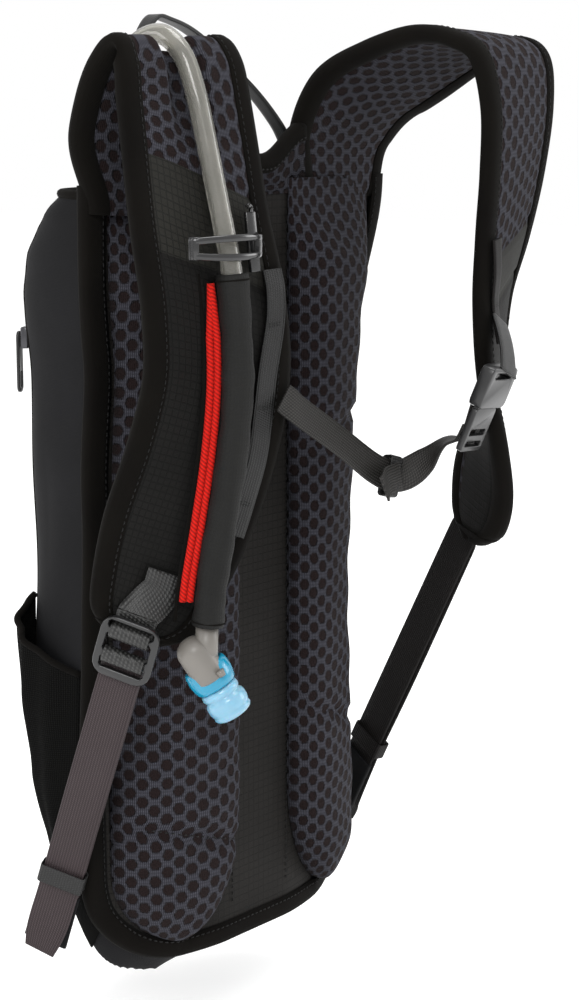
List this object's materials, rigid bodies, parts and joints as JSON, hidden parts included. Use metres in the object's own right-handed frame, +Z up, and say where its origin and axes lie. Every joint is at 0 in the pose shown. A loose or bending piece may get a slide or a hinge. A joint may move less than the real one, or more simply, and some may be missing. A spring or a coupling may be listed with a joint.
{
  "type": "hydration pack",
  "caption": "Slim back-worn pack with a lift-out water reservoir, a drink hose clipped along one padded shoulder strap, and adjustable webbing",
  "frame": {"origin": "on the wearer-side face of the back panel, in the flat channel on the centre line, 217 mm above the panel bottom", "axes": "+Z up along the back, +X towards the wearer's left, +Y away from the wearer through the bag; the wearer is on the -Y side"},
  "size_m": [0.2354, 0.2208, 0.4705],
  "materials": {
    "binding_fabric": "woven tape",
    "shell_fabric": "plain woven",
    "pad_mesh": "spacer mesh over foam",
    "pocket_knit": "ribbed stretch knit",
    "webbing": "woven webbing",
    "grey_webbing": "woven webbing",
    "buckle_plastic": "satin moulded",
    "zip_metal": "dark painted",
    "hose_plastic": "translucent",
    "sleeve_fabric": "ripstop",
    "cord_red": "braided",
    "valve_grey": "satin moulded",
    "valve_blue": "gloss",
    "mouthpiece_silicone": "translucent silicone",
    "reservoir_film": "translucent film",
    "lining_fabric": "plain woven"
  },
  "bodies": {
    "pack": {"back_panel": "shell_fabric", "panel_binding": "binding_fabric", "top_yoke": "binding_fabric", "right_back_pod": "pad_mesh", "left_back_pod": "pad_mesh", "bag_shell": "shell_fabric", "right_side_pocket": "pocket_knit", "left_side_pocket": "pocket_knit", "reservoir_divider": "lining_fabric", "hose_plug": "valve_grey", "hose_inner": "hose_plastic", "light_loop": "webbing"},
    "right_strap": {"right_shoulder_strap": "pad_mesh", "right_daisy_chain": "webbing", "hose_outer": "hose_plastic", "hose_sleeve": "sleeve_fabric", "red_cord_inner": "cord_red", "red_cord_outer": "cord_red", "hose_clip_base": "buckle_plastic", "right_lock_tab": "webbing", "sternum_webbing": "webbing"},
    "left_strap": {"left_shoulder_strap": "pad_mesh", "left_daisy_chain": "webbing", "left_lock_tab": "webbing", "female_buckle_loop": "webbing", "sternum_buckle_female": "buckle_plastic"},
    "right_lock": {"right_ladder_lock": "buckle_plastic"},
    "left_lock": {"left_ladder_lock": "buckle_plastic"},
    "right_anchor": {"right_webbing_anchor": "shell_fabric"},
    "left_anchor": {"left_webbing_anchor": "shell_fabric"},
    "right_webbing": {"right_lower_webbing": "grey_webbing"},
    "left_webbing": {"left_lower_webbing": "grey_webbing"},
    "right_keeper": {"right_webbing_keeper": "webbing"},
    "left_keeper": {"left_webbing_keeper": "webbing"},
    "grab_handle": {"grab_handle": "webbing"},
    "right_zip_slider": {"right_zip_slider": "zip_metal"},
    "left_zip_slider": {"left_zip_slider": "zip_metal"},
    "right_zip_pull": {"right_zip_pull": "webbing"},
    "left_zip_pull": {"left_zip_pull": "webbing"},
    "front_flap": {"front_flap": "shell_fabric"},
    "reservoir": {"reservoir": "reservoir_film", "reservoir_port": "valve_grey"},
    "reservoir_cap": {"reservoir_cap": "valve_blue"},
    "port_button": {"port_release_button": "valve_blue"},
    "hose_clip_arm": {"hose_clip_arm": "buckle_plastic"},
    "valve_body": {"valve_elbow": "valve_grey"},
    "valve_tip": {"valve_ring": "valve_blue", "mouthpiece": "mouthpiece_silicone"},
    "buckle_male": {"sternum_buckle_male": "buckle_plastic"},
    "sternum_keeper": {"sternum_keeper": "webbing"}
  },
  "joints": [
    {"name": "right_strap_swing", "type": "hinge", "parent": "pack", "child": "right_strap", "pos_m": [-0.078, 0.014, 0.152], "axis": [-1, 0, 0], "range_deg": [0, 2.5]},
    {"name": "left_strap_swing", "type": "hinge", "parent": "pack", "child": "left_strap", "pos_m": [0.074, 0.014, 0.152], "axis": [-1, 0, 0], "range_deg": [0, 2.5]},
    {"name": "right_lock_tilt", "type": "hinge", "parent": "right_strap", "child": "right_lock", "pos_m": [-0.112, -0.02334, -0.04422], "axis": [1, 0, 0], "range_deg": [0, 4.9]},
    {"name": "right_anchor_swing", "type": "hinge", "parent": "pack", "child": "right_anchor", "pos_m": [-0.10811, 0.04106, -0.20803], "axis": [1, 0, 0], "range_deg": [0, 2.4]},
    {"name": "right_webbing_payout", "type": "slide", "parent": "right_anchor", "child": "right_webbing", "axis": [0, -0.355, 0.9349], "range_m": [0, 0.0052]},
    {"name": "right_keeper_slide", "type": "slide", "parent": "right_webbing", "child": "right_keeper", "axis": [0, -0.355, 0.9349], "range_m": [-0.005, 0.05]},
    {"name": "left_lock_tilt", "type": "hinge", "parent": "left_strap", "child": "left_lock", "pos_m": [0.1085, -0.06298, -0.00855], "axis": [1, 0, 0], "range_deg": [0, 3.88]},
    {"name": "left_anchor_swing", "type": "hinge", "parent": "pack", "child": "left_anchor", "pos_m": [0.10419, 0.02688, -0.1861], "axis": [1, 0, 0], "range_deg": [0, 1.38]},
    {"name": "left_webbing_payout", "type": "slide", "parent": "left_anchor", "child": "left_webbing", "axis": [0, -0.4476, 0.8942], "range_m": [0, 0.0065]},
    {"name": "left_keeper_slide", "type": "slide", "parent": "left_webbing", "child": "left_keeper", "axis": [0, -0.4476, 0.8942], "range_m": [-0.005, 0.05]},
    {"name": "grab_handle_fold", "type": "hinge", "parent": "pack", "child": "grab_handle", "pos_m": [-0.056, 0.0085, 0.162], "axis": [-0.9855, 0, -0.1695], "range_deg": [0, 60]},
    {"name": "right_zip_run", "type": "slide", "parent": "pack", "child": "right_zip_slider", "axis": [0, -0.0083, -1], "range_m": [0, 0.11]},
    {"name": "right_zip_pull_swing", "type": "hinge", "parent": "right_zip_slider", "child": "right_zip_pull", "pos_m": [-0.07319, 0.08727, 0.0822], "axis": [0.86, 0.5104, 0], "range_deg": [0, 80]},
    {"name": "left_zip_run", "type": "slide", "parent": "pack", "child": "left_zip_slider", "axis": [0, -0.0083, -1], "range_m": [0, 0.11]},
    {"name": "left_zip_pull_swing", "type": "hinge", "parent": "left_zip_slider", "child": "left_zip_pull", "pos_m": [0.07319, 0.08727, 0.0822], "axis": [0.86, -0.5104, 0], "range_deg": [0, 80]},
    {"name": "front_flap_open", "type": "hinge", "parent": "pack", "child": "front_flap", "pos_m": [0, 0.0915, -0.0603], "axis": [-1, 0, 0], "range_deg": [0, 70]},
    {"name": "reservoir_lift", "type": "slide", "parent": "pack", "child": "reservoir", "axis": [0, 0, 1], "range_m": [0, 0.42]},
    {"name": "reservoir_cap_turn", "type": "hinge", "parent": "reservoir", "child": "reservoir_cap", "pos_m": [0, 0.0363, 0.04], "axis": [0, 1, 0], "range_deg": [0, 150]},
    {"name": "port_button_press", "type": "slide", "parent": "reservoir", "child": "port_button", "axis": [0, 0, -1], "range_m": [0, 0.0018], "stiffness_N_per_m": 400},
    {"name": "hose_clip_open", "type": "hinge", "parent": "right_strap", "child": "hose_clip_arm", "pos_m": [-0.058, -0.0525, 0.13], "axis": [0, 0, 1], "range_deg": [0, 60]},
    {"name": "valve_swivel", "type": "hinge", "parent": "right_strap", "child": "valve_body", "pos_m": [-0.084, -0.0446, -0.0455], "axis": [-0.03, -0.01, -0.9995], "range_deg": [-45, 45]},
    {"name": "valve_twist", "type": "hinge", "parent": "valve_body", "child": "valve_tip", "pos_m": [-0.08252, -0.04648, -0.06693], "axis": [0.3281, -0.4072, -0.8524], "range_deg": [0, 90]},
    {"name": "sternum_release", "type": "slide", "parent": "right_strap", "child": "buckle_male", "axis": [-0.1401, 0.3361, -0.9313], "range_m": [0, 0.014]},
    {"name": "sternum_keeper_slide", "type": "slide", "parent": "right_strap", "child": "sternum_keeper", "axis": [0.9175, -0.2709, -0.2913], "range_m": [-0.002, 0.001]}
  ],
  "couplings": [
    {"joint": "left_strap_swing", "follows": "right_strap_swing", "ratio": 1},
    {"joint": "right_lock_tilt", "follows": "right_strap_swing", "ratio": 1.9207},
    {"joint": "right_anchor_swing", "follows": "right_strap_swing", "ratio": 0.92072},
    {"joint": "right_webbing_payout", "follows": "right_strap_swing", "m_per_rad": 0.11354},
    {"joint": "left_lock_tilt", "follows": "right_strap_swing", "ratio": 1.5132},
    {"joint": "left_anchor_swing", "follows": "right_strap_swing", "ratio": 0.51325},
    {"joint": "left_webbing_payout", "follows": "right_strap_swing", "m_per_rad": 0.14468}
  ]
}
